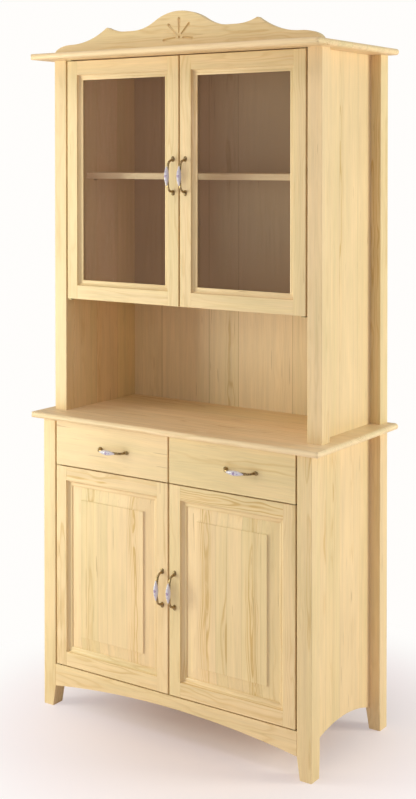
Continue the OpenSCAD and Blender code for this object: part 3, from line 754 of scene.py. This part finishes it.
class DRESSER_OT_crest(bpy.types.Operator):
    """Carves the sunburst into the crest board"""
    bl_idname = "dresser.crest"
    bl_label = "Carved crest"
    # Where each ray ends, from the centre: to the right and up
    rays = ((0.0, 0.0575), (-0.040, 0.040), (0.038, 0.0395), (-0.058, -0.008), (0.050, -0.006))

    def execute(self, context):
        look = context.scene.dresser_crest
        low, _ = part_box("crest_board")
        centre = Vector((0.0, low.y, low.z + look.rise))
        cutters = [self.ray(centre, Vector((x, 0.0, z)), look) for x, z in self.rays]
        cutters.append(self.dimple(centre, look))

        def carve(bm):
            for cutter in cutters:
                bm = cut_with(bm, cutter)
            return bm

        planed("crest_board", waxed("solid pine"), along=X, shape=carve)
        return {"FINISHED"}

    @staticmethod
    def ray(centre, tip, look):
        """A gouge cut: round-bottomed, wide and deep at its outer end and less so at its inner one."""
        steps, ring, least, spread = 14, 16, 0.05, 1.02
        inner_width, inner_depth = 0.62, 0.75
        length, wide = tip.length - look.start, look.groove / 2

        def end(away):
            """The rounding of a groove's end: 0 at its tip, and 1 from half a width on."""
            return math.sqrt(1 - (1 - min(1.0, away / wide)) ** 2)

        bm = bmesh.new()
        way = tip.normalized()
        side = Vector((way.z, 0.0, -way.x))
        rows = []
        for i in range(steps + 1):
            t = i / steps
            s = look.start + length * t
            opened = max(least, end(t * length) * end((1 - t) * length))
            half = wide * (inner_width + (1 - inner_width) * t) * opened
            deep = look.cut * opened * (inner_depth + (1 - inner_depth) * t)
            rows.append([bm.verts.new(centre + way * s + side * half * spread * math.cos(a)
                                      + Vector((0.0, deep * math.sin(a), 0.0)))
                         for a in circle(ring)])
        bridge(bm, rows)
        bmesh.ops.recalc_face_normals(bm, faces=bm.faces)
        return bm

    @staticmethod
    def dimple(centre, look):
        """The round hollow in the middle of the burst."""
        bm = bmesh.new()
        bmesh.ops.create_icosphere(bm, subdivisions=3, radius=look.hub / 2)
        bmesh.ops.scale(bm, verts=bm.verts, vec=(1.0, look.cut * 2 / look.hub, 1.0))
        bmesh.ops.translate(bm, verts=bm.verts, vec=centre)
        return bm


def cut_with(bm, cutter):
    """The first mesh with the second taken out of it."""
    stock, tool = placed("stock", mesh_of(bm, "stock")), placed("tool", mesh_of(cutter, "tool"))
    cut = stock.modifiers.new("Cut", "BOOLEAN")
    cut.operation, cut.solver, cut.object = "DIFFERENCE", "EXACT", tool
    bpy.context.view_layer.update()
    result = bmesh.new()
    result.from_object(stock, bpy.context.evaluated_depsgraph_get())
    for thing in (stock, tool):
        mesh = thing.data
        bpy.data.objects.remove(thing)
        bpy.data.meshes.remove(mesh)
    return result


class DRESSER_OT_door_frames(bpy.types.Operator):
    """Planes the stiles, rails and mitred beads of the four doors"""
    bl_idname = "dresser.door_frames"
    bl_label = "Door frames"
    # Hearts that show on the rails: height, and distance before the rail's middle
    hearts = {"lower_left": ((0.708, 0.003), (0.160, -0.010)),
              "lower_right": ((0.701, 0.004), (0.150, 0.002))}

    def execute(self, context):
        pine = waxed("solid pine")
        for door in DOORS:
            planed(f"{door}_door_stiles", pine, along=Z, rounded=Z)
            planed(f"{door}_door_rails", pine, along=X, piths=self.hearts.get(door, ()))
            planed(f"{door}_door_bead", pine, width=0.0)
        return {"FINISHED"}


class DRESSER_OT_door_panels(bpy.types.Operator):
    """Planes the raised panels of the lower doors"""
    bl_idname = "dresser.door_panels"
    bl_label = "Raised panels"
    edge = 0.0004
    joints = {"lower_left": (-0.326, -0.258, -0.224, -0.152), "lower_right": (0.158, 0.195, 0.243, 0.305)}
    # Hearts that show: place across the panel, and distance before its middle
    hearts = {"lower_left": ((-0.291, 0.003), (-0.126, 0.003)),
              "lower_right": ((0.121, 0.004), (0.276, 0.003))}

    def execute(self, context):
        for door, places in self.joints.items():
            planed(f"{door}_door_panel", waxed("pine panel"), along=Z, seams=places,
                   piths=self.hearts[door], width=self.edge)
        return {"FINISHED"}


class DRESSER_OT_panes(bpy.types.Operator):
    """Gives the panes their glass"""
    bl_idname = "dresser.panes"
    bl_label = "Glass panes"

    def execute(self, context):
        finish = finish_named("Float glass", glass_finish, context.scene.dresser_glass)
        for door in GLAZED:
            dress(f"{door}_door_glass", finish)
        return {"FINISHED"}


class DRESSER_OT_drawers(bpy.types.Operator):
    """Planes the drawer fronts, boxes and bottoms"""
    bl_idname = "dresser.drawers"
    bl_label = "Drawers"
    # Hearts that show, above or below the fronts: height, and distance before the front's middle
    hearts = {"left": ((0.935, 0.012),), "right": ((0.812, -0.005),)}

    def execute(self, context):
        for side, piths in self.hearts.items():
            planed(f"drawer_{side}_front", waxed("drawer front"), along=X, piths=piths, rounded=Z)
            planed(f"drawer_{side}_box", waxed("inner board"))
            planed(f"drawer_{side}_bottom", waxed("inner board"), along=X)
        return {"FINISHED"}


class DRESSER_OT_fittings(bpy.types.Operator):
    """Gives the hinge plates and the shelf pins their steel"""
    bl_idname = "dresser.fittings"
    bl_label = "Hinges and shelf pins"

    def execute(self, context):
        finish = finish_named("Plated steel", steel_finish, context.scene.dresser_fittings)
        for node in ("pivot_hinges", "shelf_pins"):
            dress(node, finish)
        return {"FINISHED"}


class DRESSER_OT_handles(bpy.types.Operator):
    """Makes the six bowed handles and their porcelain grips"""
    bl_idname = "dresser.handles"
    bl_label = "Handles"
    # Half of the bow: distance from the middle, distance off the face, half width and half thickness
    bow = ((0.0445, 0.0010, 0.0048, 0.0042), (0.0447, 0.0050, 0.0041, 0.0038),
           (0.0443, 0.0095, 0.0036, 0.0033), (0.0428, 0.0142, 0.0033, 0.0030),
           (0.0398, 0.0187, 0.0034, 0.0028), (0.0355, 0.0220, 0.0037, 0.0024),
           (0.0305, 0.0237, 0.0040, 0.0019), (0.0240, 0.0245, 0.0040, 0.0014),
           (0.0140, 0.0248, 0.0036, 0.0011), (0.0, 0.0249, 0.0036, 0.0011))
    foot_place = 0.048

    def execute(self, context):
        look = context.scene.dresser_handles
        bronze = finish_named("Antiqued bronze", bronze_finish, look)
        glaze = finish_named("Painted porcelain", porcelain_finish, look)
        places = [(door, f"{door}_door_stiles") for door in DOORS]
        places += [(f"drawer_{side}", f"drawer_{side}_front") for side in SIDES]
        right, out, up = Vector((1, 0, 0)), Vector((0, -1, 0)), Vector((0, 0, 1))
        for holder, carrier in places:
            bow, grip = f"{holder}_handle_bow", f"{holder}_handle_grip"
            low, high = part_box(bow)
            level = high.x - low.x > high.z - low.z
            u, v = (right, up) if level else (up, right)
            seat = Matrix((u, v, out)).transposed().to_4x4()
            seat.translation = Vector(((low.x + high.x) / 2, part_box(carrier)[0].y, (low.z + high.z) / 2))
            for node, made, finish in ((bow, self.cast(look), bronze), (grip, self.glazed(look), glaze)):
                bmesh.ops.transform(made, matrix=seat, verts=made.verts)
                bmesh.ops.recalc_face_normals(made, faces=made.faces)
                stand_for(made, node, "finished", finish, smooth=50.0)
        return {"FINISHED"}

    def cast(self, look):
        """The bow and its two feet, along X with the face at Z 0."""
        bm = bmesh.new()
        path = [(-u, w, a, b) for u, w, a, b in self.bow]
        path += [(u, w, a, b) for u, w, a, b in reversed(self.bow[:-1])]
        fine = smooth_path(path, 4)
        rows = []
        for i, (u, w, a, b) in enumerate(fine):
            before, after = fine[max(0, i - 1)], fine[min(len(fine) - 1, i + 1)]
            way = Vector((after[0] - before[0], 0.0, after[1] - before[1])).normalized()
            out = Vector((-way.z, 0.0, way.x))
            rows.append([bm.verts.new(Vector((u, a * math.cos(t), w)) + out * b * math.sin(t))
                         for t in circle(14)])
        bridge(bm, rows)
        for sign in (-1, 1):
            dome(bm, Vector((sign * self.foot_place, 0.0, 0.0)), look.foot_length / 2, look.foot_width / 2,
                 look.foot_height)
        return bm

    @staticmethod
    def glazed(look):
        """The porcelain spindle with a flat back, along X with the face at Z 0."""
        axis, back = 0.0305, 0.0262   # distances off the face
        tip, swell, fullness = 0.0011, 1.75, 0.9   # radius at the ends, and the curve up to the middle
        long, wide, steps = look.grip_length / 2, look.grip_width / 2, 36
        bm = bmesh.new()
        rows = []
        for i in range(steps + 1):
            u = -math.cos(math.pi * i / steps) * long
            r = tip + (wide - tip) * max(0.0, 1 - abs(u / long) ** swell) ** fullness
            rows.append([bm.verts.new((u, r * math.cos(t), max(back, axis + r * math.sin(t))))
                         for t in circle(28)])
        bridge(bm, rows)
        bmesh.ops.remove_doubles(bm, verts=bm.verts, dist=1e-6)
        paint = bm.loops.layers.float_vector.new("paint")
        for face in bm.faces:
            for loop in face.loops:
                p = loop.vert.co
                loop[paint] = (p.x, p.y, p.z - axis)
        return bm


def circle(count):
    """Angles at that many equal steps round a circle."""
    return [2 * math.pi * k / count for k in range(count)]


def smooth_path(points, steps):
    """A smooth curve through the points, with that many steps between each two."""
    made = []
    for i in range(len(points) - 1):
        p0, p1, p2, p3 = (points[max(0, min(len(points) - 1, i + k))] for k in (-1, 0, 1, 2))
        for s in range(steps):
            t = s / steps
            made.append(tuple(0.5 * (2 * b + (c - a) * t + (2 * a - 5 * b + 4 * c - d) * t * t
                                     + (3 * b - a - 3 * c + d) * t ** 3)
                              for a, b, c, d in zip(p0, p1, p2, p3)))
    made.append(points[-1])
    return made


def bridge(bm, rows):
    """Skins rings of equal count and closes the two ends."""
    count = len(rows[0])
    for a, b in zip(rows, rows[1:]):
        for k in range(count):
            bm.faces.new((a[k], a[(k + 1) % count], b[(k + 1) % count], b[k]))
    bm.faces.new(rows[0])
    bm.faces.new(list(reversed(rows[-1])))


def dome(bm, centre, long, wide, height):
    """An oval foot with a rim and a domed top."""
    # From the rim to the top: share of the half length and half width, and share of the height
    profile = ((1.0, 0.0), (1.0, 0.22), (0.96, 0.34), (0.86, 0.46), (0.74, 0.50), (0.62, 0.70),
               (0.44, 0.88), (0.22, 0.98), (0.06, 1.0))
    bridge(bm, [[bm.verts.new(centre + Vector((long * r * math.cos(t), wide * r * math.sin(t), height * h)))
                 for t in circle(28)] for r, h in profile])


class DRESSER_OT_stage(bpy.types.Operator):
    """Sets the pale floor, the soft light and the camera"""
    bl_idname = "dresser.stage"
    bl_label = "Stage"
    # Each lamp's name, power, colour, place, the point it faces, its width and its height
    lamps = (("Key light", "key", "glow", (-2.25, -1.8, 1.05), (0.0, -0.15, 0.95), 1.1, 2.0),
             ("Side light", "side", "glow", (3.6, 1.7, 1.5), (0.45, 0.0, 1.0), 1.2, 1.6),
             ("Fill light", "fill", "glow", (0.3, -3.6, 1.9), (0.0, -0.15, 1.0), 1.8, 1.5),
             ("Top light", "top", "spill", (0.0, -1.3, 3.4), (0.0, 0.0, 1.0), 1.6, 1.0))
    film, shift = 36.0, (-0.0105, -0.2693)   # the camera's sensor height in millimetres, and its shift
    # The floor fades into the haze round a point at this X: over the first pair of distances from it
    # the haze covers the floor, and over the second the mist's colour gives way to the haze's own
    middle, fade, clear = 0.08, (0.10, 0.98), (0.55, 0.90)

    def execute(self, context):
        look, scene = context.scene.dresser_stage, context.scene
        scene.view_settings.view_transform = "Standard"
        scene.view_settings.look = "None"
        self.floor(look)
        self.world(look)
        for name, strength, hue, *where in self.lamps:
            self.lamp(name, getattr(look, strength), getattr(look, hue), *where)
        camera = bpy.data.cameras.new("Camera")
        camera.sensor_fit, camera.sensor_height, camera.lens = "VERTICAL", self.film, look.lens
        camera.shift_x, camera.shift_y = self.shift
        stand = placed("Camera", camera)
        stand.location = look.stand
        stand.rotation_euler = (math.pi / 2 - look.tilt, 0.0, look.turn)
        scene.camera = stand
        return {"FINISHED"}

    def floor(self, look):
        """The floor, which fades into the haze. Only the camera sees the haze, so it lights nothing."""
        radius, segments, least_haze = 40.0, 96, 0.05
        f = Finish(bpy.data.materials.new("Pale floor"))
        place = f.add("ShaderNodeNewGeometry", out="Position")
        x, y, _ = f.parts(place)
        off = x - self.middle
        reach = (off * off + y * y).root()
        seen = f.add("ShaderNodeLightPath", out="Is Camera Ray")
        cloud = f.noise(place, (3.0,) * 3, 2.0, 0.5)
        body = f.add("ShaderNodeBsdfPrincipled", None, {
            "Base Color": f.mix(cloud * 0.04, look.floor, look.smudge), "Roughness": 0.6,
            "Specular IOR Level": 0.25})
        haze = f.add("ShaderNodeEmission", None, {
            "Color": f.mix(reach.rise(*self.clear), look.mist, look.haze), "Strength": 1.0})
        hazy = least_haze + (1.0 - least_haze) * reach.rise(*self.fade)
        faded = f.add("ShaderNodeMixShader", None, {
            "Fac": seen * hazy, "Shader": body, "Shader_001": haze})
        f.add("ShaderNodeOutputMaterial", None, {"Surface": faded})
        bm = bmesh.new()
        bmesh.ops.create_circle(bm, cap_ends=True, segments=segments, radius=radius)
        floor = placed("floor", mesh_of(bm, "floor"))
        floor.data.materials.append(f.owner)

    @staticmethod
    def world(look):
        """Even light all round, with the haze's colour behind it for the camera."""
        world = bpy.data.worlds.new("Soft room")
        bpy.context.scene.world = world
        f = Finish(world)
        seen = f.add("ShaderNodeLightPath", out="Is Camera Ray")
        lit = f.add("ShaderNodeBackground", None, {"Color": look.air, "Strength": look.sky})
        shown = f.add("ShaderNodeBackground", None, {"Color": look.haze, "Strength": 1.0})
        both = f.add("ShaderNodeMixShader", None, {"Fac": seen, "Shader": lit, "Shader_001": shown})
        f.add("ShaderNodeOutputWorld", None, {"Surface": both})

    @staticmethod
    def lamp(name, strength, hue, place, target, width, height):
        """A soft lamp that faces a point and isn't seen itself."""
        lamp = bpy.data.lights.new(name, "AREA")
        lamp.energy, lamp.shape, lamp.size, lamp.size_y = strength, "RECTANGLE", width, height
        lamp.color = hue
        thing = placed(name, lamp)
        thing.location = place
        thing.rotation_euler = (Vector(target) - Vector(place)).to_track_quat("-Z", "Y").to_euler()
        thing.visible_camera = False


OPERATORS = (DRESSER_OT_stage, DRESSER_OT_posts, DRESSER_OT_panels, DRESSER_OT_boards, DRESSER_OT_crest,
             DRESSER_OT_door_frames, DRESSER_OT_door_panels, DRESSER_OT_panes, DRESSER_OT_drawers,
             DRESSER_OT_fittings, DRESSER_OT_handles)
GROUPS = {"dresser_pine": PineProperties, "dresser_crest": CrestProperties,
          "dresser_handles": HandleProperties, "dresser_glass": GlassProperties,
          "dresser_fittings": FittingProperties, "dresser_stage": StageProperties}


class DRESSER_PT_main(bpy.types.Panel):
    """Lists the dresser's sizes, colours and steps"""
    bl_idname = "DRESSER_PT_main"
    bl_label = "Pine dresser"
    bl_space_type = "VIEW_3D"
    bl_region_type = "UI"
    bl_category = "Dresser"

    def draw(self, context):
        for step in OPERATORS:
            self.layout.operator(step.bl_idname)
        for name, group in GROUPS.items():
            box = self.layout.box()
            for prop in group.__annotations__:
                box.prop(getattr(context.scene, name), prop)


def register():
    for group in (*GROUPS.values(), *OPERATORS, DRESSER_PT_main):
        bpy.utils.register_class(group)
    for name, group in GROUPS.items():
        setattr(bpy.types.Scene, name, bpy.props.PointerProperty(type=group))


def unregister():
    for name in GROUPS:
        delattr(bpy.types.Scene, name)
    for group in (DRESSER_PT_main, *reversed(OPERATORS), *GROUPS.values()):
        bpy.utils.unregister_class(group)


def main():
    register()
    for step in OPERATORS:
        group, name = step.bl_idname.split(".")
        getattr(getattr(bpy.ops, group), name)()


if __name__ == "__main__":
    main()
